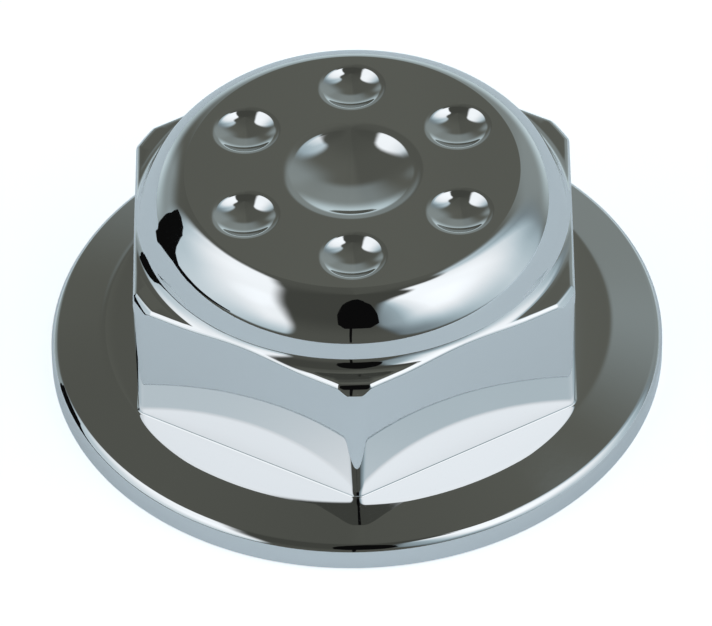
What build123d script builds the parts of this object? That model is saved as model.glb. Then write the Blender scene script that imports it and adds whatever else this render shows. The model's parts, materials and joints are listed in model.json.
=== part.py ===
"""Closed flange nut for a motorcycle steering stem: one turned and polished piece.

Frame: millimetres, the seat face on Z = 0, the thread axis on +Z, one corner of the
hexagon towards -Y. Everything is measured from the seat face upward.
"""

import os
from math import cos, radians, sin, sqrt, tan

from build123d import *

# ---------------------------------------------------------------- driving sizes
# Hexagon: the spanner size and how its upright corners are blunted. They are
# sharper at the flange and open out towards the ledge, where a turned round runs
# over them. Tilts are measured between a surface's normal and the axis.
HEX_FLATS = 36.0
LEDGE_HEIGHT = 15.5
LEDGE_EDGE_R = 0.5
CORNER_R_FOOT = 1.0
CORNER_R_LEDGE = 2.2
CORNER_TURNED_R = 2.4
CORNER_TURNED_TILT = 50.0
CORNER_STAND_OFF = 0.02  # the turned round stands this far outside the blunt corner

# Flange: a short upright rim, a round over it, a falling zone and a level seat
# for the foot of the hexagon.
FLANGE_DIA = 51.0
RIM_HEIGHT = 1.66
RIM_ROUND_R = 0.82
RIM_CHAMFER = 0.2
FALL_TILT = 15.0
LEVEL_MARGIN = 0.57  # level beyond the corners of the hexagon
LEVEL_BLEND_R = 2.2

# Crown: the round boss above the hexagon. From above: a flat, a slight crease, a
# wide shoulder of two arcs, a steep wall just inside the flats, and a hollow that
# joins the wall to the ledge.
CROWN_RISE = 5.05  # above the ledge
CREASE_TILT = 15.0
SHOULDER_UPPER_R = 4.85
SHOULDER_JOIN_TILT = 44.0
SHOULDER_LOWER_R = 5.4
WALL_TILT = 72.0
WALL_INSET = 0.2  # wall inside the flats at the height of the ledge
CROWN_FOOT_R = 1.1

# Dimples: one wide in the middle, six small ones round it, in line with the
# corners of the hexagon. Each is a shallow spherical cup with a soft rim.
SMALL_CUP_RIM_DIA = 5.2
SMALL_CUP_R = 4.9
SMALL_CUP_SOFTEN_R = 1.1
SMALL_CUP_LAND = 1.12  # flat left outside a small cup
CENTRE_CUP_LAND = 2.05  # flat left between a small cup and the middle one
CENTRE_CUP_R = 12.4
CENTRE_CUP_SOFTEN_R = 2.4
CUP_COUNT = 6

# Thread, from below: M24 x 1, right hand, blind. The bore carries the minor
# diameter; a run-out groove and a flat end close it.
THREAD_MAJOR = 24.0
THREAD_PITCH = 1.0
THREAD_LENGTH = 11.5
RUNOUT_LENGTH = 2.0
RUNOUT_CLEARANCE = 0.2  # groove beyond the major radius
MOUTH_CLEARANCE = 0.4  # chamfer beyond the major radius
BORE_END_R = 0.8

OVERLAP = 0.5  # how far pieces that are joined or cut run into each other

# ---------------------------------------------------------------- helpers
def on_arc(start, radius, tilt_from, tilt_to):
    """Point reached by running an arc from one tilt of its normal to another."""
    a, b = radians(tilt_from), radians(tilt_to)
    return (start[0] + radius * (sin(b) - sin(a)), start[1] - radius * (cos(a) - cos(b)))


def arc_run(start, radius, tilt_from, tilt_to):
    """The arc itself and the point where it ends."""
    middle = on_arc(start, radius, tilt_from, (tilt_from + tilt_to) / 2)
    end = on_arc(start, radius, tilt_from, tilt_to)
    return ThreePointArc(start, middle, end), end


def polyline(*points):
    return [Line(a, b) for a, b in zip(points, points[1:])]


def turned(*lines):
    """Solid of revolution about Z from a closed profile drawn in X (radius), Z."""
    return revolve(Plane.XZ * make_face(Wire(list(lines))), Axis.Z)


# ---------------------------------------------------------------- heights and reaches
FLAT_R = HEX_FLATS / 2
CORNER_DIRECTION = radians(30)


def corner_reach(corner_r):
    """Distance from the axis to the ridge of a corner blunted by this radius."""
    return (FLAT_R - corner_r) / cos(CORNER_DIRECTION) + corner_r


level_r = corner_reach(CORNER_R_FOOT) + LEVEL_MARGIN
fall_end = on_arc((FLANGE_DIA / 2, RIM_HEIGHT), RIM_ROUND_R, 90, FALL_TILT)
flange_height = fall_end[1] + (fall_end[0] - level_r) * tan(radians(FALL_TILT))
crown_height = LEDGE_HEIGHT + CROWN_RISE
corner_rate = (CORNER_R_LEDGE - CORNER_R_FOOT) / (LEDGE_HEIGHT - flange_height)


def corner_r_at(height):
    return CORNER_R_FOOT + corner_rate * (height - flange_height)


# ---------------------------------------------------------------- flange
rim_round, fall_end = arc_run((FLANGE_DIA / 2, RIM_HEIGHT), RIM_ROUND_R, 90, FALL_TILT)
level_end = (level_r - LEVEL_BLEND_R * tan(radians(FALL_TILT / 2)), flange_height)
level_blend, fall_start = arc_run(level_end, LEVEL_BLEND_R, 0, FALL_TILT)
flange = turned(
    *polyline(
        (0, flange_height),
        (0, 0),
        (FLANGE_DIA / 2 - RIM_CHAMFER, 0),
        (FLANGE_DIA / 2, RIM_CHAMFER),
        (FLANGE_DIA / 2, RIM_HEIGHT),
    ),
    rim_round,
    Line(fall_end, fall_start),
    level_blend,
    Line(level_end, (0, flange_height)),
)

# ---------------------------------------------------------------- turned body
# Everything above the flange as it leaves the lathe. The crown is set out from the
# line of its wall: down that line to the ledge, and up from it to the flat.
wall_line_foot = (FLAT_R - WALL_INSET, LEDGE_HEIGHT)
tilts = [radians(t) for t in (CREASE_TILT, SHOULDER_JOIN_TILT, WALL_TILT)]
upper_size = (
    SHOULDER_UPPER_R * (sin(tilts[1]) - sin(tilts[0])),
    SHOULDER_UPPER_R * (cos(tilts[0]) - cos(tilts[1])),
)
lower_size = (
    SHOULDER_LOWER_R * (sin(tilts[2]) - sin(tilts[1])),
    SHOULDER_LOWER_R * (cos(tilts[1]) - cos(tilts[2])),
)
wall_rise = CROWN_RISE - upper_size[1] - lower_size[1]
crown_flat_r = (
    wall_line_foot[0] - wall_rise / tan(tilts[2]) - lower_size[0] - upper_size[0]
)
flat_edge = (crown_flat_r, crown_height)
upper, joint = arc_run(flat_edge, SHOULDER_UPPER_R, CREASE_TILT, SHOULDER_JOIN_TILT)
lower, wall_top = arc_run(joint, SHOULDER_LOWER_R, SHOULDER_JOIN_TILT, WALL_TILT)

# The hollow is tangent to the wall and to the ledge.
hollow_run = CROWN_FOOT_R * tan(radians(WALL_TILT / 2))
ledge_start = (wall_line_foot[0] + hollow_run, LEDGE_HEIGHT)


def on_hollow(tilt):
    t = radians(tilt)
    return (
        ledge_start[0] - CROWN_FOOT_R * sin(t),
        ledge_start[1] + CROWN_FOOT_R * (1 - cos(t)),
    )


# The round over the corners: a small one on the ledge's edge, then the wide one.
edge_drop = LEDGE_EDGE_R * (1 - cos(radians(CORNER_TURNED_TILT)))
side_height = LEDGE_HEIGHT - edge_drop - CORNER_TURNED_R * cos(radians(CORNER_TURNED_TILT))
side = (corner_reach(corner_r_at(side_height)) + CORNER_STAND_OFF, side_height)
turned_start = on_arc(side, CORNER_TURNED_R, 90, CORNER_TURNED_TILT)
ledge_end = on_arc(turned_start, LEDGE_EDGE_R, CORNER_TURNED_TILT, 0)
edge_round, _ = arc_run(ledge_end, LEDGE_EDGE_R, 0, CORNER_TURNED_TILT)
corner_round, _ = arc_run(turned_start, CORNER_TURNED_R, CORNER_TURNED_TILT, 90)
body_foot = flange_height - OVERLAP
body = turned(
    Line((0, crown_height), flat_edge),
    upper,
    lower,
    Line(wall_top, on_hollow(WALL_TILT)),
    ThreePointArc(on_hollow(WALL_TILT), on_hollow(WALL_TILT / 2), ledge_start),
    Line(ledge_start, ledge_end),
    edge_round,
    corner_round,
    *polyline(
        side,
        (side[0] + OVERLAP, side_height),
        (side[0] + OVERLAP, body_foot),
        (0, body_foot),
        (0, crown_height),
    ),
)


# ---------------------------------------------------------------- hexagon
def blunt_hexagon(height):
    """Outline of the hexagon at a height, its corners blunted as they are there."""
    outline = RegularPolygon(FLAT_R, 6, major_radius=False, rotation=30)
    return Pos(0, 0, height) * fillet(outline.vertices(), corner_r_at(height))


# The flats are milled on the turned body. They cut the hollow of the crown's foot
# at their middle and the ledge beside it, and that edge is then rounded.
milled = body & loft(
    [blunt_hexagon(body_foot), blunt_hexagon(crown_height + OVERLAP)], ruled=True
)
flats = [
    f
    for f in milled.faces()
    if abs(sqrt(f.center().X ** 2 + f.center().Y ** 2) - FLAT_R) < 0.01
]
top_edges = [
    e
    for f in flats
    for e in f.outer_wire().edges()
    if min(v.Z for v in e.vertices()) > LEDGE_HEIGHT - 1e-3
]
milled = fillet(top_edges, LEDGE_EDGE_R)


# ---------------------------------------------------------------- dimples
def cup(centre, sphere_r, rim_dia):
    """Sphere whose circle in the crown's flat top has the given diameter."""
    rise = sqrt(sphere_r**2 - (rim_dia / 2) ** 2)
    return Pos(centre[0], centre[1], crown_height + rise) * Sphere(sphere_r)


def soften(nut, rim_dia, centre, radius):
    """Round the circular rim of one cup."""
    rim = [
        e
        for e in nut.edges().filter_by(GeomType.CIRCLE)
        if abs(e.radius - rim_dia / 2) < 1e-3
        and abs(e.arc_center.X - centre[0]) < 1e-3
        and abs(e.arc_center.Y - centre[1]) < 1e-3
        and abs(e.arc_center.Z - crown_height) < 1e-3
    ]
    return fillet(rim, radius)


cup_circle_r = crown_flat_r - SMALL_CUP_LAND - SMALL_CUP_RIM_DIA / 2
centre_rim_dia = 2 * (cup_circle_r - SMALL_CUP_RIM_DIA / 2 - CENTRE_CUP_LAND)
milled -= cup((0, 0), CENTRE_CUP_R, centre_rim_dia)
milled = soften(milled, centre_rim_dia, (0, 0), CENTRE_CUP_SOFTEN_R)
for i in range(CUP_COUNT):
    angle = radians(30 + 360 / CUP_COUNT * i)
    spot = (cup_circle_r * cos(angle), cup_circle_r * sin(angle))
    milled -= cup(spot, SMALL_CUP_R, SMALL_CUP_RIM_DIA)
    milled = soften(milled, SMALL_CUP_RIM_DIA, spot, SMALL_CUP_SOFTEN_R)

# ---------------------------------------------------------------- threaded bore
# The void: a mouth chamfer, the bore at the thread's minor radius, the run-out
# groove and a flat end with a rounded corner.
thread_minor_r = (THREAD_MAJOR - 1.0825 * THREAD_PITCH) / 2
runout_r = THREAD_MAJOR / 2 + RUNOUT_CLEARANCE
mouth_r = THREAD_MAJOR / 2 + MOUTH_CLEARANCE
bore_depth = THREAD_LENGTH + RUNOUT_LENGTH
groove_slope = runout_r - thread_minor_r
end_round, end_flat = arc_run((runout_r, bore_depth - BORE_END_R), BORE_END_R, 90, 0)
bore = turned(
    *polyline(
        (0, bore_depth),
        (0, -OVERLAP),
        (mouth_r + OVERLAP, -OVERLAP),
        (thread_minor_r, mouth_r - thread_minor_r),
        (thread_minor_r, THREAD_LENGTH - groove_slope),
        (runout_r, THREAD_LENGTH),
        (runout_r, bore_depth - BORE_END_R),
    ),
    end_round,
    Line(end_flat, (0, bore_depth)),
)

# ---------------------------------------------------------------- the nut
stem_nut = flange + milled - bore

os.makedirs("parts", exist_ok=True)
export_step(stem_nut, "parts/stem_nut.step")
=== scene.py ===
"""Looks of the steering stem nut: one turned, milled and polished piece, chrome plated."""

import json
from math import asin, cos, degrees, inf, pi, radians, sin, sqrt, tan

import bmesh
import bpy
from mathutils import Matrix, Vector


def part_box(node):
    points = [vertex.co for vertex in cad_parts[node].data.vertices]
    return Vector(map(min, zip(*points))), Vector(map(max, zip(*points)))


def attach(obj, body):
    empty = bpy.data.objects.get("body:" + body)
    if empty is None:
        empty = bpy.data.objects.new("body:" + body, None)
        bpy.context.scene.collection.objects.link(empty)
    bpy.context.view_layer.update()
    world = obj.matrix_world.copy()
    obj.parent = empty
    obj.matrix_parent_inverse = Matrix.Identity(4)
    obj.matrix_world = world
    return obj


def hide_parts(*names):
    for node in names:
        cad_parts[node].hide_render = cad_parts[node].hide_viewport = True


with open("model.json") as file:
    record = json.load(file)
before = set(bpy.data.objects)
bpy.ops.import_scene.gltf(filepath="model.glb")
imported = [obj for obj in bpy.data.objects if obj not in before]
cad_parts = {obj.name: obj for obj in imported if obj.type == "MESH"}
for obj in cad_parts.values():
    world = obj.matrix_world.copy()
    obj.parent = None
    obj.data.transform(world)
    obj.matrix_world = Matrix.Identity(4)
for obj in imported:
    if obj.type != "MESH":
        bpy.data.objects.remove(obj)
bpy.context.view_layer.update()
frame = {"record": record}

# ------------------------------------------------------------------ camera
# A long lens on a stand, looking down on the front corner of the hexagon and rolled a
# little. Angles are in degrees, lengths in metres and the lens in millimetres.
camera_azimuth = 0.82
camera_elevation = 44.37
camera_distance = 0.5964
camera_roll = 1.64
camera_lens = 362.2
camera_aim = Vector((0, 0, 0.0042))


def from_nut(azimuth, elevation, distance=1.0):
    """Point in a direction from the nut: azimuth 0 is the front, 90 the right side."""
    a, e = radians(azimuth), radians(elevation)
    return distance * Vector((sin(a) * cos(e), -cos(a) * cos(e), sin(e)))


camera = bpy.data.objects.new("camera", bpy.data.cameras.new("camera"))
bpy.context.scene.collection.objects.link(camera)
bpy.context.scene.camera = camera
camera.data.lens = camera_lens
camera.data.clip_start = 0.01
camera.location = camera_aim + from_nut(camera_azimuth, camera_elevation, camera_distance)
camera.rotation_mode = "QUATERNION"
aim = (camera_aim - camera.location).to_track_quat("-Z", "Y")
roll = Matrix.Rotation(radians(-camera_roll), 3, "Z").to_quaternion()
camera.rotation_quaternion = aim @ roll

# ------------------------------------------------------------------ the room
# A studio table in a dim, drab room. Two big soft boxes lean in from the sides and
# stop short of the back. The camera looks down between them from its stand, and a
# black case stands behind on the left.
bpy.context.scene.view_settings.view_transform = "Standard"


def eased(x, start, end):
    """Soft step from 0 at start to 1 at end."""
    t = min(1, max(0, (x - start) / (end - start)))
    return t * t * (3 - 2 * t)


def corners_cut(outline):
    """The outline with its corners cut twice over, which turns them into curves."""
    for _ in range(2):
        outline = [
            tuple((1 - share) * a + share * b for a, b in zip(start, end))
            for start, end in zip(outline, outline[1:] + outline[:1])
            for share in (0.25, 0.75)
        ]
    return outline


def inside(azimuth, elevation, outline):
    """How far a direction is inside a soft-edged outline, from 0 to 1.

    The outline's corners are (azimuth, elevation, width of the soft edge there).
    """
    nearest, soft, within = inf, 1, False
    squeeze = cos(radians(elevation))
    for (a0, e0, w0), (a1, e1, w1) in zip(outline, outline[1:] + outline[:1]):
        side = Vector(((a1 - a0) * squeeze, e1 - e0))
        point = Vector(((azimuth - a0) * squeeze, elevation - e0))
        t = min(1, max(0, point.dot(side) / side.length_squared))
        gap = (point - t * side).length
        if gap < nearest:
            nearest, soft = gap, w0 + t * (w1 - w0)
        if (e0 > elevation) != (e1 > elevation):
            if azimuth < a0 + (elevation - e0) / (e1 - e0) * (a1 - a0):
                within = not within
    return eased(nearest if within else -nearest, -soft / 2, soft / 2)


def between(x, stations):
    """Values at x, straight between stations given as (x, value, value, ...)."""
    x = min(max(x, stations[0][0]), stations[-1][0])
    for (x0, *start), (x1, *end) in zip(stations, stations[1:]):
        if x <= x1:
            return [v0 + (v1 - v0) * (x - x0) / (x1 - x0) for v0, v1 in zip(start, end)]


# Each box has its outline; how its light grows upward, at stations given as (azimuth,
# level at its foot, level at its top, elevations where the growth starts and ends); and
# the lamp behind its cloth, as (azimuth, elevation, level, degrees where it starts to
# fade and is gone).
left_box = corners_cut([
    (-135, 69, 3), (-115, 71, 4), (-92, 71, 5), (-74, 67, 6), (-60, 60, 7), (-50, 51, 8),
    (-42, 42, 8), (-36, 32, 7), (-31, 20, 6), (-31, 6, 5), (-36, 4, 3), (-62, 4, 2),
    (-100, 2, 3), (-112, 0, 6), (-122, 20, 14), (-131, 38, 10), (-135, 52, 4),
])
left_growth = [
    (-125, 0.55, 1.12, 32, 62), (-115, 0.66, 1.14, 28, 61), (-105, 0.66, 1.13, 22, 62),
    (-95, 0.72, 1.13, 20, 64), (-85, 0.76, 1.12, 10, 64), (-75, 0.78, 1.12, 5, 60),
    (-65, 0.71, 1.12, 0, 53), (-55, 0.64, 1.11, 0, 42), (-45, 0.56, 1.08, 0, 30),
]
left_lamp = (-63, 46, 0.07, 6, 16)
right_box = corners_cut([
    (12, 38, 5), (15, 54, 5), (22, 67, 5), (34, 71, 4), (48, 73.5, 4), (66, 73.5, 3),
    (80, 74.5, 3), (90, 78.5, 3), (104, 77.5, 3), (112, 71, 3), (119, 68, 4), (136, 70, 4),
    (137, 52, 6), (130, 36, 14), (121, 20, 16), (112, 0, 10), (95, -4, 3), (60, 2, 3),
    (23, 4, 4), (19, 14, 5), (13, 27, 5),
])
right_growth = [
    (12, 0.10, 0.25, 20, 30), (25, 0.23, 0.45, 8, 32), (35, 0.28, 0.91, 8, 40),
    (45, 0.36, 1.14, 2, 42), (55, 0.50, 1.18, 0, 44), (65, 0.62, 1.19, 0, 52),
    (85, 0.74, 1.18, 4, 62), (95, 0.67, 1.17, 10, 60), (105, 0.56, 1.12, 16, 62),
    (115, 0.34, 1.05, 8, 66), (126, 0.27, 0.7, 34, 70),
]
right_lamp = (60, 47, 0.05, 8, 20)
dim_tint = Vector((0.8, 1, 1.09))
bright_tint = Vector((0.965, 1, 1.025))
lamp_tint = Vector((0.9, 1, 1.1))
wall_tint = Vector((0.96, 1, 0.86))


def tinted(level):
    """Cool where a light is dim, near white where it is bright."""
    return level * dim_tint.lerp(bright_tint, eased(level, 0.45, 1.1))


def box_light(azimuth, elevation, growth, lamp):
    """Light of a soft box in one direction."""
    foot, top, start, end = between(azimuth, growth)
    lamp_azimuth, lamp_elevation, level, fade_start, fade_end = lamp
    off_lamp = degrees(from_nut(azimuth, elevation).angle(from_nut(lamp_azimuth, lamp_elevation)))
    lamp_there = level * (1 - eased(off_lamp, fade_start, fade_end))
    return tinted(foot + (top - foot) * eased(elevation, start, end)) + lamp_there * lamp_tint


def room_light(azimuth, elevation):
    """Light that comes from one direction of the room (red, green, blue)."""
    side = abs(azimuth)
    back = eased(side, 110, 150)

    # the walls: brighter at the sides and back, near the table and in the back right corner
    wall = 0.062 + 0.036 * eased(side, 70, 145) * (1 - 0.4 * eased(elevation, 60, 88))
    wall += 0.03 * (1 - back) * (1 - eased(elevation, 8, 44))
    wall += 0.02 * back * (1 - eased(elevation, 22, 46))
    right_back = eased(azimuth, 110, 145) if azimuth > 0 else eased(azimuth, -172, -180)
    right_back *= 1 - 0.5 * eased(azimuth, 172, 188)
    wall += 0.024 * right_back * (1 - 0.7 * eased(elevation, 50, 80))

    # light that the boxes throw on things low behind them: right, middle, left and all along
    low_right = eased(azimuth, 95, 135) * (1 - eased(azimuth, 150, 172))
    shine = 0.16 * low_right * (1 - eased(elevation, 34, 56))
    shine += 0.13 * eased(side, 155, 172) * (1 - eased(elevation, 33, 42))
    low_left = eased(-azimuth, 110, 124) * (1 - eased(-azimuth, 143, 154))
    shine += 0.2 * low_left * (1 - eased(elevation, 20, 36))
    shine += 0.44 * back * (1 - eased(elevation, 1, 19)) ** 1.3
    light = wall * wall_tint + tinted(shine)

    if azimuth < 0:
        outline, growth, lamp = left_box, left_growth, left_lamp
    else:
        outline, growth, lamp = right_box, right_growth, right_lamp
    box = box_light(azimuth, elevation, growth, lamp)
    return light.lerp(box, inside(azimuth, elevation, outline))


room_glow = bpy.data.materials.new("room_glow")
room_glow.use_nodes = True
nodes, links = room_glow.node_tree.nodes, room_glow.node_tree.links
nodes.clear()
painted = nodes.new("ShaderNodeAttribute")
painted.attribute_name = "light"
shining = nodes.new("ShaderNodeEmission")
surface = nodes.new("ShaderNodeOutputMaterial")
links.new(painted.outputs["Color"], shining.inputs["Color"])
links.new(shining.outputs["Emission"], surface.inputs["Surface"])


def panel(name, points, faces, lights):
    """Thing round the nut with light painted on its points, hidden from the camera."""
    mesh = bpy.data.meshes.new(name)
    mesh.from_pydata(points, [], faces)
    paint = mesh.attributes.new("light", "FLOAT_COLOR", "POINT")
    for point, light in zip(paint.data, lights):
        point.color = (*light, 1)
    mesh.materials.append(room_glow)
    thing = bpy.data.objects.new(name, mesh)
    bpy.context.scene.collection.objects.link(thing)
    thing.visible_camera = False
    return thing


# the walls and the boxes are painted on a dome, a fine net of directions in degrees
room_radius = 2.5
net_step = 0.75
net_low, net_high = -2, 89.5
around = round(360 / net_step)
upward = round((net_high - net_low) / net_step) + 1
directions = [
    (360 * i / around - 180, net_low + net_step * row) for row in range(upward) for i in range(around)
]
faces = [
    (row * around + i, row * around + (i + 1) % around,
     (row + 1) * around + (i + 1) % around, (row + 1) * around + i)
    for row in range(upward - 1)
    for i in range(around)
]
faces.append(tuple((upward - 1) * around + i for i in range(around)))
panel(
    "room",
    [from_nut(*d, room_radius) for d in directions],
    faces,
    [room_light(*d) for d in directions],
)

black_level = 0.004
body_distance = 0.8
stand_distance = 0.82
case_distance = 1.2
# the case's painted shade lies this little above the table
painted_shade_lift = Vector((0, 0, 0.0002))


def black_thing_or_painted_shade(name, points):
    """Black cut-out that the nut mirrors: a black thing, or the painted shade of one; it keeps no light
    from the table.
    """
    thing = panel(name, points, [tuple(range(len(points)))], [[black_level] * 3] * len(points))
    thing.visible_diffuse = thing.visible_shadow = False


def cut_out(outline, distance):
    """Points of an outline of directions, all at one distance from the nut."""
    return [from_nut(*corner, distance) for corner in outline]


black_thing_or_painted_shade(
    "camera_body",
    cut_out([(-12, 66), (-10, 74), (-4, 79), (4, 80), (10, 76), (14, 68), (14, 50), (13, 34),
             (8, 27), (-5, 27), (-9, 33), (-11, 50)], body_distance),
)
black_thing_or_painted_shade("camera_stand", cut_out([(-2.7, 28), (-1.3, 28), (-1.5, 3), (-2.5, 3)], stand_distance))
black_thing_or_painted_shade(
    "black_case",
    cut_out([(-131, 33), (-128, 35.5), (-121, 35), (-114, 30.5), (-108, 21), (-103, 11),
             (-97, 5), (-82, 5), (-62, 6), (-62, 4.5), (-80, 2), (-95, -1), (-120, -1),
             (-121, 8), (-125, 24)], case_distance),
)
# the case's shade on the table, painted as a black strip that runs toward the nut: (azimuth, distance)
black_thing_or_painted_shade(
    "painted_case_shade",
    [from_nut(azimuth, 0, distance) + painted_shade_lift
     for azimuth, distance in ((-115, 0.139), (-109.5, 0.104), (-108, 0.157), (-105, 0.27),
                               (-101, case_distance), (-120, case_distance), (-117, 0.3))],
)

# ------------------------------------------------------------------ the table
# A matt white board. It is lifted to plain white where the camera sees it, and a
# little in mirrors; the nut still throws its soft shadow on it.
table_half = 3.0
table_drop = 0.00005
lifts = {"Is Camera Ray": 0.66, "Is Glossy Ray": 0.12, "Is Transmission Ray": 0.12}
mesh = bpy.data.meshes.new("floor")
mesh.from_pydata(
    [(x * table_half, y * table_half, -table_drop) for x, y in ((-1, -1), (1, -1), (1, 1), (-1, 1))],
    [],
    [(0, 1, 2, 3)],
)
floor = bpy.data.objects.new("floor", mesh)
bpy.context.scene.collection.objects.link(floor)
table = bpy.data.materials.new("white_board")
table.use_nodes = True
nodes, links = table.node_tree.nodes, table.node_tree.links
board = nodes["Principled BSDF"]
board.inputs["Base Color"].default_value = (0.78, 0.9, 0.98, 1)
board.inputs["Roughness"].default_value = 0.9
board.inputs["Specular IOR Level"].default_value = 0.1
board.inputs["Emission Color"].default_value = (1, 1, 1, 1)
path = nodes.new("ShaderNodeLightPath")
strength = None
for ray, lift in lifts.items():
    lifted = nodes.new("ShaderNodeMath")
    lifted.operation = "MULTIPLY_ADD"
    links.new(path.outputs[ray], lifted.inputs[0])
    lifted.inputs[1].default_value = lift
    lifted.inputs[2].default_value = 0
    if strength is not None:
        links.new(strength, lifted.inputs[2])
    strength = lifted.outputs[0]
links.new(strength, board.inputs["Emission Strength"])
mesh.materials.append(table)

world = bpy.data.worlds.new("surroundings")
bpy.context.scene.world = world
world.use_nodes = True
world.node_tree.nodes["Background"].inputs["Color"].default_value = (1, 1, 1, 1)
world.node_tree.nodes["Background"].inputs["Strength"].default_value = 1.0

# ------------------------------------------------------------------ chrome
# Bright decorative chrome over polished steel: a mirror with the faintest cloud and
# waviness left by the buffing wheel. Plating hardly reaches into the blind bore, whose
# wall stays greyer and duller, and the seat keeps the fine rings of its facing cut.
MM = 0.001
plate_colour = (0.80, 0.81, 0.82, 1)
bore_colour = (0.56, 0.56, 0.55, 1)
plate_rough = (0.014, 0.03)
bore_rough = (0.16, 0.3)
seat_rough = 0.09
cloud_edges = (0.35, 0.7)
bore_r_edges = (12.2 * MM, 12.7 * MM)
bore_z_edges = (13.55 * MM, 13.8 * MM)
seat_z_edges = (0.01 * MM, 0.05 * MM)
wave_height = 0.0011 * MM
ring_pitch = 0.16 * MM
ring_height = 0.0009 * MM
grain_height = 0.006 * MM
chrome = bpy.data.materials.new("polished_chrome")
chrome.use_nodes = True
nodes, links = chrome.node_tree.nodes, chrome.node_tree.links
shader = nodes["Principled BSDF"]
shader.inputs["Metallic"].default_value = 1.0
place = nodes.new("ShaderNodeTexCoord")
apart = nodes.new("ShaderNodeSeparateXYZ")
links.new(place.outputs["Object"], apart.inputs[0])


def number(operation, first, second=0):
    """Node that works out one number; inputs are sockets or plain values."""
    node = nodes.new("ShaderNodeMath")
    node.operation = operation
    for socket, value in zip(node.inputs, (first, second)):
        if isinstance(value, (int, float)):
            socket.default_value = value
        else:
            links.new(value, socket)
    return node.outputs[0]


def stepped(value, low, high, out_low, out_high):
    """Soft step of a value from out_low at low to out_high at high."""
    node = nodes.new("ShaderNodeMapRange")
    node.interpolation_type = "SMOOTHSTEP"
    links.new(value, node.inputs["Value"])
    for name, v in (("From Min", low), ("From Max", high), ("To Min", out_low), ("To Max", out_high)):
        node.inputs[name].default_value = v
    return node.outputs["Result"]


def cloud(scale, detail):
    """Soft random pattern that is fixed to the nut, with so many waves to the metre."""
    node = nodes.new("ShaderNodeTexNoise")
    node.inputs["Scale"].default_value = scale
    node.inputs["Detail"].default_value = detail
    links.new(place.outputs["Object"], node.inputs["Vector"])
    return node.outputs[0]


flat_place = nodes.new("ShaderNodeCombineXYZ")
links.new(apart.outputs["X"], flat_place.inputs["X"])
links.new(apart.outputs["Y"], flat_place.inputs["Y"])
from_axis = nodes.new("ShaderNodeVectorMath")
from_axis.operation = "LENGTH"
links.new(flat_place.outputs[0], from_axis.inputs[0])
radius, height = from_axis.outputs["Value"], apart.outputs["Z"]
in_bore = number("MULTIPLY", stepped(radius, *bore_r_edges, 1, 0), stepped(height, *bore_z_edges, 1, 0))
on_seat = stepped(height, *seat_z_edges, 1, 0)
buffed = stepped(cloud(scale=220, detail=3), *cloud_edges, *plate_rough)
worn = stepped(cloud(scale=900, detail=4), *cloud_edges, *bore_rough)
rough = number("ADD", buffed, number("MULTIPLY", in_bore, worn))
rough = number("ADD", rough, number("MULTIPLY", on_seat, seat_rough))
links.new(rough, shader.inputs["Roughness"])
colour = nodes.new("ShaderNodeMix")
colour.data_type = "RGBA"
colour.inputs["A"].default_value = plate_colour
colour.inputs["B"].default_value = bore_colour
links.new(in_bore, colour.inputs["Factor"])
links.new(colour.outputs["Result"], shader.inputs["Base Color"])

# heights in metres: waviness of the plate, facing rings on the seat, grain in the bore
waves = number("MULTIPLY", cloud(scale=700, detail=2), wave_height)
rings = number("SINE", number("MULTIPLY", radius, 2 * pi / ring_pitch))
rings = number("MULTIPLY", number("MULTIPLY", rings, on_seat), ring_height)
grain = number("MULTIPLY", cloud(scale=6000, detail=2), in_bore)
grain = number("MULTIPLY", grain, grain_height)
relief = nodes.new("ShaderNodeBump")
relief.inputs["Distance"].default_value = 1.0
links.new(number("ADD", number("ADD", waves, rings), grain), relief.inputs["Height"])
links.new(relief.outputs["Normal"], shader.inputs["Normal"])

# ------------------------------------------------------------------ the nut: turned and milled outside
# One steel bar, turned with its flange and crown, milled to a hexagon and polished
# all over before it is plated. Its mirror finish shows every wrong slope, so this
# surface is worked out point by point: columns run round the nut and rows down it.
_, nut_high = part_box("stem_nut")
rim_r = nut_high[0]
crown_z = nut_high[2]

# the hexagon, its corners sharper at the foot than at the ledge and turned round above
flat_r = 18.0 * MM
ledge_z = 15.5 * MM
corner_r_foot = 1.0 * MM
corner_r_ledge = 2.2 * MM
edge_r = 0.5 * MM
corner_turned_r = 2.4 * MM
corner_turned_tilt = 50
corner_stand_off = 0.02 * MM
foot_r = 0.15 * MM

# the flange: level by the hexagon, then falling to a round rim
rim_side_z = 1.66 * MM
rim_round_r = 0.82 * MM
rim_chamfer = 0.2 * MM
fall_tilt = 15
level_margin = 0.57 * MM
level_blend_r = 2.2 * MM

# the crown: a crease round its flat top, two rounds that make its shoulder, and its wall
crease_tilt, shoulder_join_tilt, wall_tilt = 15, 44, 72
shoulder_upper_r = 4.85 * MM
shoulder_lower_r = 5.4 * MM
wall_inset = 0.2 * MM
crown_foot_r = 1.1 * MM

# rows this close to the end of a straight stretch keep its mirror flat
holding_gap = 0.03 * MM


def toward(tilt, length):
    """Step in the profile along a normal of this tilt from the axis: (radius, height)."""
    return Vector((length * sin(radians(tilt)), length * cos(radians(tilt))))


def turned_round(centre, radius, tilt_from, tilt_to, steps):
    """Points of a round; a radius below zero makes it hollow."""
    return [
        centre + toward(tilt_from + (tilt_to - tilt_from) * i / steps, radius)
        for i in range(steps + 1)
    ]


def straight(start, end):
    """Rows close inside both ends of a straight stretch, which keep its mirror flat."""
    along = (end - start).normalized() * holding_gap
    return [start + along, end - along]


def corner_reach(corner_r):
    """How far from the axis a corner of the hexagon reaches when it has this round."""
    return (flat_r - corner_r) / cos(pi / 6) + corner_r


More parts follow.
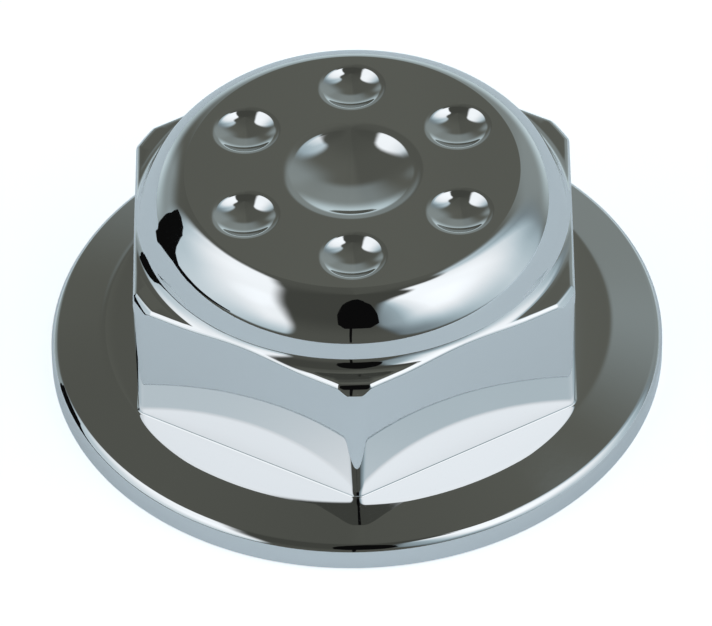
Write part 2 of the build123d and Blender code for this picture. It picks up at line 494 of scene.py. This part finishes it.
# flange profile, from the hexagon's foot outward and down to the seat
level_r = corner_reach(corner_r_foot) + level_margin
rim_centre = Vector((rim_r - rim_round_r, rim_side_z))
fall_end = rim_centre + toward(fall_tilt, rim_round_r)
flange_z = fall_end.y + (fall_end.x - level_r) * tan(radians(fall_tilt))
level_end = Vector((level_r - level_blend_r * tan(radians(fall_tilt / 2)), flange_z))
level_round = turned_round(level_end - toward(0, level_blend_r), level_blend_r, 0, fall_tilt, steps=6)
rim_round = turned_round(rim_centre, rim_round_r, fall_tilt, 90, steps=12)
side_foot = Vector((rim_r, rim_chamfer))
flange_rows = [
    level_end - Vector((holding_gap, 0)),
    *level_round,
    *straight(level_round[-1], rim_round[0]),
    *rim_round,
    straight(rim_round[-1], side_foot)[0],
    side_foot,
    Vector((rim_r - rim_chamfer, 0)),
]

# crown profile, from the edge of its flat top down to the hollow at its foot
wall_foot = Vector((flat_r - wall_inset, ledge_z))
upper_size = toward(shoulder_join_tilt, shoulder_upper_r) - toward(crease_tilt, shoulder_upper_r)
lower_size = toward(wall_tilt, shoulder_lower_r) - toward(shoulder_join_tilt, shoulder_lower_r)
wall_rise = crown_z - ledge_z + upper_size.y + lower_size.y
wall_top = wall_foot + Vector((-wall_rise / tan(radians(wall_tilt)), wall_rise))
shoulder_join = wall_top - lower_size
crown_edge = shoulder_join - upper_size
upper_round = turned_round(
    crown_edge - toward(crease_tilt, shoulder_upper_r),
    shoulder_upper_r, crease_tilt, shoulder_join_tilt, steps=14,
)
lower_round = turned_round(
    shoulder_join - toward(shoulder_join_tilt, shoulder_lower_r),
    shoulder_lower_r, shoulder_join_tilt, wall_tilt, steps=12,
)
crown_rows = [
    crown_edge - Vector((holding_gap, 0)),
    crown_edge,
    straight(crown_edge, upper_round[1])[0],
    *upper_round[1:],
    *lower_round[1:],
]

# ledge profile: the hollow, the ledge, its small edge round and the wide round that
# goes over the corners
hollow_centre = wall_foot + Vector((crown_foot_r * tan(radians(wall_tilt / 2)), crown_foot_r))
corner_rate = (corner_r_ledge - corner_r_foot) / (ledge_z - flange_z)


def corner_r_at(z):
    """Radius of the hexagon's corners at a height."""
    return corner_r_foot + corner_rate * (z - flange_z)


side_z = ledge_z - edge_r * (1 - cos(radians(corner_turned_tilt)))
side_z -= corner_turned_r * cos(radians(corner_turned_tilt))
side_r = corner_reach(corner_r_at(side_z)) + corner_stand_off
over_centre = Vector((side_r - corner_turned_r, side_z))
edge_centre = over_centre + toward(corner_turned_tilt, corner_turned_r - edge_r)
hollow = turned_round(hollow_centre, -crown_foot_r, wall_tilt, 0, steps=10)
ledge_edge = turned_round(edge_centre, edge_r, 0, corner_turned_tilt, steps=6)
ledge_rows = [
    *straight(wall_top, hollow[0]),
    *hollow,
    *straight(hollow[-1], ledge_edge[0]),
    *ledge_edge,
    *turned_round(over_centre, corner_turned_r, corner_turned_tilt, 90, steps=12)[1:],
]
settle_rounds = 12
edge_steps = 7
foot_steps = 4


def ball_rest(r):
    """Where a ball of the edge's radius, held below the turned ledge, has its centre.

    Given the centre's distance from the axis, returns its height and the tilt at which
    it touches.
    """
    if r < hollow_centre.x:
        reach = crown_foot_r + edge_r
        tilt = asin((hollow_centre.x - r) / reach)
        return hollow_centre.y - reach * cos(tilt), degrees(tilt)
    if r <= edge_centre.x:
        return edge_centre.y, 0
    reach = corner_turned_r - edge_r
    tilt = asin(min(1, (r - over_centre.x) / reach))
    return over_centre.y + reach * cos(tilt), degrees(tilt)


def hexagon_side(share, turn, z):
    """Point and normal of the hexagon's side at a height, for the flat facing +X.

    On the flat, share runs from -1 to 1 across it; on the blunt corner after it, turn is
    the normal's angle from the flat's.
    """
    corner_r = corner_r_at(z)
    half = (flat_r - corner_r) * tan(pi / 6)
    normal = Vector((cos(turn), sin(turn)))
    if turn:
        return Vector((flat_r - corner_r, half)) + corner_r * normal, normal
    return Vector((flat_r, share * half)), normal


def nut_column(share, turn, edge_tilt=None):
    """Points of one column, from the crown's flat top down to the seat.

    The ledge's edge is the round that a ball leaves which touches both the ledge and the
    hexagon's side. The side leans with height, so the ball settles in a few rounds.
    """
    ball_z = edge_centre.y
    for _ in range(settle_rounds):
        side, normal = hexagon_side(share, turn, ball_z)
        ball = side - edge_r * normal
        ball_z, tilt = ball_rest(ball.length)
    if edge_tilt is not None:
        tilt = edge_tilt
    touch = Vector((ball.length, ball_z)) + toward(tilt, edge_r)
    out = ball.normalized()
    points = [(*(out * row.x), row.y) for row in crown_rows]
    points += [(*(out * row.x), row.y) if row.x < touch.x else (*(out * touch.x), touch.y)
               for row in ledge_rows]
    start = Vector((*(out * sin(radians(tilt))), cos(radians(tilt))))
    end = Vector((*normal, 0))
    centre = Vector((*ball, ball_z))
    points += [
        tuple(centre + edge_r * start.slerp(end, i / edge_steps)) for i in range(1, edge_steps + 1)
    ]
    foot, _ = hexagon_side(share, turn, flange_z)
    drop = ball_z - flange_z
    for down in (holding_gap, drop / 2, drop - foot_r - holding_gap):
        points.append((*side.lerp(foot, down / drop), ball_z - down))
    hollow_foot = side.lerp(foot, 1 - foot_r / drop) + foot_r * normal
    for i in range(foot_steps + 1):
        a = pi / 2 * i / foot_steps
        points.append((*(hollow_foot - foot_r * cos(a) * normal), flange_z + foot_r - foot_r * sin(a)))
    out = foot.normalized()
    points += [(*(out * row.x), row.y) for row in flange_rows]
    return points


# Columns of one sixth of the nut: half a flat, mirrored, and the corner after it.
# They are closest where the ledge's edge runs out over the corner.
flat_half = (flat_r - corner_r_at(edge_centre.y)) * tan(pi / 6)
hollow_end = sqrt(hollow_centre.x**2 - (flat_r - edge_r) ** 2) / flat_half
ledge_end = sqrt(edge_centre.x**2 - (flat_r - edge_r) ** 2) / flat_half
middle_steps, ledge_steps, run_out_steps, last_steps, corner_steps = 10, 4, 6, 3, 16
half_flat = [
    *[(hollow_end * i / middle_steps, None) for i in range(1, middle_steps + 1)],
    *[(hollow_end + (ledge_end - hollow_end) * i / ledge_steps, None) for i in range(1, ledge_steps)],
    *[(ledge_end, corner_turned_tilt * i / run_out_steps) for i in range(run_out_steps + 1)],
    *[(ledge_end + (1 - ledge_end) * i / last_steps, None) for i in range(1, last_steps + 1)],
]
flat = [(-share, tilt) for share, tilt in reversed(half_flat)] + [(0, None)] + half_flat
sixth = [nut_column(share, 0, tilt) for share, tilt in flat]
sixth += [nut_column(1, pi / 3 * i / corner_steps) for i in range(1, corner_steps)]

points = []
for i in range(6):
    turn = Matrix.Rotation(pi / 3 * i, 3, "Z")
    points += [turn @ Vector(p) for column in sixth for p in column]
rows, columns = len(sixth[0]), 6 * len(sixth)
faces = [
    (c * rows + r, c * rows + r + 1, (c + 1) % columns * rows + r + 1, (c + 1) % columns * rows + r)
    for c in range(columns)
    for r in range(rows - 1)
]
mesh = bpy.data.meshes.new("nut")
mesh.from_pydata(points, [], faces)
nut = bpy.data.objects.new("nut", mesh)
bpy.context.scene.collection.objects.link(nut)


def start_piece(piece):
    """Leave only this piece selected, and active."""
    bpy.ops.object.select_all(action="DESELECT")
    piece.select_set(True)
    bpy.context.view_layer.objects.active = piece


def merge_doubles(piece):
    """Make one point of points that lie on each other, which closes the seams."""
    start_piece(piece)
    bpy.ops.object.mode_set(mode="EDIT")
    bpy.ops.mesh.select_all(action="SELECT")
    bpy.ops.mesh.remove_doubles(threshold=0.0002 * MM)
    bpy.ops.object.mode_set(mode="OBJECT")


merge_doubles(nut)

# ------------------------------------------------------------------ the dimples
# Seven shallow cups in the flat top of the crown, pressed or milled with a ball and
# polished until their rims are soft: one wide in the middle and six round it.
small_rim_r = 2.6 * MM
small_cup_r = 4.9 * MM
small_soften_r = 1.1 * MM
small_land = 1.12 * MM
centre_cup_r = 12.4 * MM
centre_soften_r = 2.4 * MM
centre_land = 2.05 * MM
cup_circle_r = crown_edge.x - small_land - small_rim_r
centre_rim_r = cup_circle_r - small_rim_r - centre_land


def spun(name, outline, at, steps):
    """Turn an outline of (radius, height) points round an upright line at a place."""
    mesh = bpy.data.meshes.new(name)
    mesh.from_pydata(
        [(at.x + p[0], at.y, p[1]) for p in outline],
        [(i, i + 1) for i in range(len(outline) - 1)],
        [],
    )
    piece = bpy.data.objects.new(name, mesh)
    bpy.context.scene.collection.objects.link(piece)
    start_piece(piece)
    bpy.ops.object.mode_set(mode="EDIT")
    bpy.ops.mesh.select_all(action="SELECT")
    bpy.ops.mesh.spin(steps=steps, angle=2 * pi, center=(at.x, at.y, 0), axis=(0, 0, 1))
    bpy.ops.object.mode_set(mode="OBJECT")
    merge_doubles(piece)
    return piece


def dimple(name, at, ball_r, rim_r, soften_r, steps):
    """A ball's hollow in the crown's flat, its rim rolled over with a round."""
    ball_centre = Vector((0, crown_z + sqrt(ball_r**2 - rim_r**2)))
    over = sqrt((ball_r + soften_r) ** 2 - (ball_centre.y - crown_z + soften_r) ** 2)
    meet_tilt = degrees(asin(over / (ball_r + soften_r)))
    hollow = turned_round(ball_centre, -ball_r, 0, -meet_tilt, steps=12)
    rim = turned_round(Vector((over, crown_z - soften_r)), soften_r, -meet_tilt, 0, steps=10)
    land = rim[-1] + Vector((holding_gap, 0))
    return spun(name, [*hollow, *rim[1:], land], at, steps)


axis = Vector((0, 0))
pieces = [dimple("centre_dimple", axis, centre_cup_r, centre_rim_r, centre_soften_r, steps=96)]
for i in range(6):
    a = pi / 6 + pi / 3 * i
    at = cup_circle_r * Vector((cos(a), sin(a)))
    pieces.append(dimple("dimple", at, small_cup_r, small_rim_r, small_soften_r, steps=64))

# ------------------------------------------------------------------ the bore and its thread
# A blind hole bored from the seat, with a chamfered mouth, an M24 x 1 right-hand
# thread and a run-out groove before its flat end. It stays out of sight when mounted.
thread = next(m for m in frame["record"]["mounts"] if m["name"] == "thread")
minor_r = thread["dims"]["r_mm"] * MM
pitch = 1.0 * MM
thread_depth = 0.54125 * pitch
major_r = minor_r + thread_depth
mouth_r = major_r + 0.4 * MM
groove_r = major_r + 0.2 * MM
thread_end_z = 11.5 * MM
bore_end_z = 13.5 * MM
bore_end_r = 0.8 * MM
bore_steps = 96
spare_turns = 3
crest, root = pitch / 4, pitch / 8
flank = (pitch - crest - root) / 2
land_steps, flank_steps = 2, 4
tooth = [
    *[(minor_r, crest * i / land_steps) for i in range(land_steps)],
    *[(minor_r + (major_r - minor_r) * i / flank_steps, crest + flank * i / flank_steps)
      for i in range(flank_steps)],
    *[(major_r, crest + flank + root * i / land_steps) for i in range(land_steps)],
    *[(major_r - (major_r - minor_r) * i / flank_steps, pitch - flank + flank * i / flank_steps)
      for i in range(flank_steps + 1)],
]
mesh = bpy.data.meshes.new("thread")
mesh.from_pydata(
    [(r, 0, z - pitch) for r, z in tooth],
    [(i, i + 1) for i in range(len(tooth) - 1)],
    [],
)
thread_wall = bpy.data.objects.new("thread", mesh)
bpy.context.scene.collection.objects.link(thread_wall)
start_piece(thread_wall)
bpy.ops.object.modifier_add(type="SCREW")
screw = thread_wall.modifiers[-1]
screw.screw_offset = pitch
screw.iterations = round(thread_end_z / pitch) + spare_turns
screw.steps = screw.render_steps = bore_steps
screw.use_merge_vertices = True
screw.merge_threshold = 0.001 * MM
bpy.ops.object.modifier_apply(modifier=screw.name)

# The spare turns at both ends are cut off level, and the chamfers of the mouth and of
# the groove cut the thread back there.
for v in thread_wall.data.vertices:
    z = min(max(v.co.z, 0), thread_end_z)
    r = v.co.xy.length
    cut_r = max(r, mouth_r - z, groove_r - (thread_end_z - z))
    v.co = (*(v.co.xy * cut_r / r), z)
merge_doubles(thread_wall)
groove_centre = Vector((groove_r - bore_end_r, bore_end_z - bore_end_r))
groove = [
    Vector((groove_r, thread_end_z)),
    *turned_round(groove_centre, bore_end_r, 90, 0, steps=8),
    Vector((0, bore_end_z)),
]
pieces += [thread_wall, spun("groove", groove, axis, bore_steps)]

# ------------------------------------------------------------------ the nut closed
# The crown's flat top and the seat are faced last; both are filled in round the
# holes in them, and the whole is one closed skin.
same_level = 0.0001 * MM
start_piece(nut)
for piece in pieces:
    piece.select_set(True)
bpy.ops.object.join()
for z in (crown_z, 0):
    start_piece(nut)
    bpy.ops.object.mode_set(mode="EDIT")
    bpy.ops.mesh.select_all(action="DESELECT")
    bpy.ops.mesh.select_mode(type="EDGE")
    shell = bmesh.from_edit_mesh(nut.data)
    for edge in shell.edges:
        edge.select = edge.is_boundary and all(abs(v.co.z - z) < same_level for v in edge.verts)
    bmesh.update_edit_mesh(nut.data)
    bpy.ops.mesh.fill()
    bpy.ops.object.mode_set(mode="OBJECT")
merge_doubles(nut)
start_piece(nut)
bpy.ops.object.mode_set(mode="EDIT")
bpy.ops.mesh.select_all(action="SELECT")
bpy.ops.mesh.normals_make_consistent(inside=False)
bpy.ops.object.mode_set(mode="OBJECT")
bpy.ops.object.shade_smooth_by_angle(angle=radians(30))
nut.data.materials.append(chrome)
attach(nut, "root")
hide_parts("stem_nut")
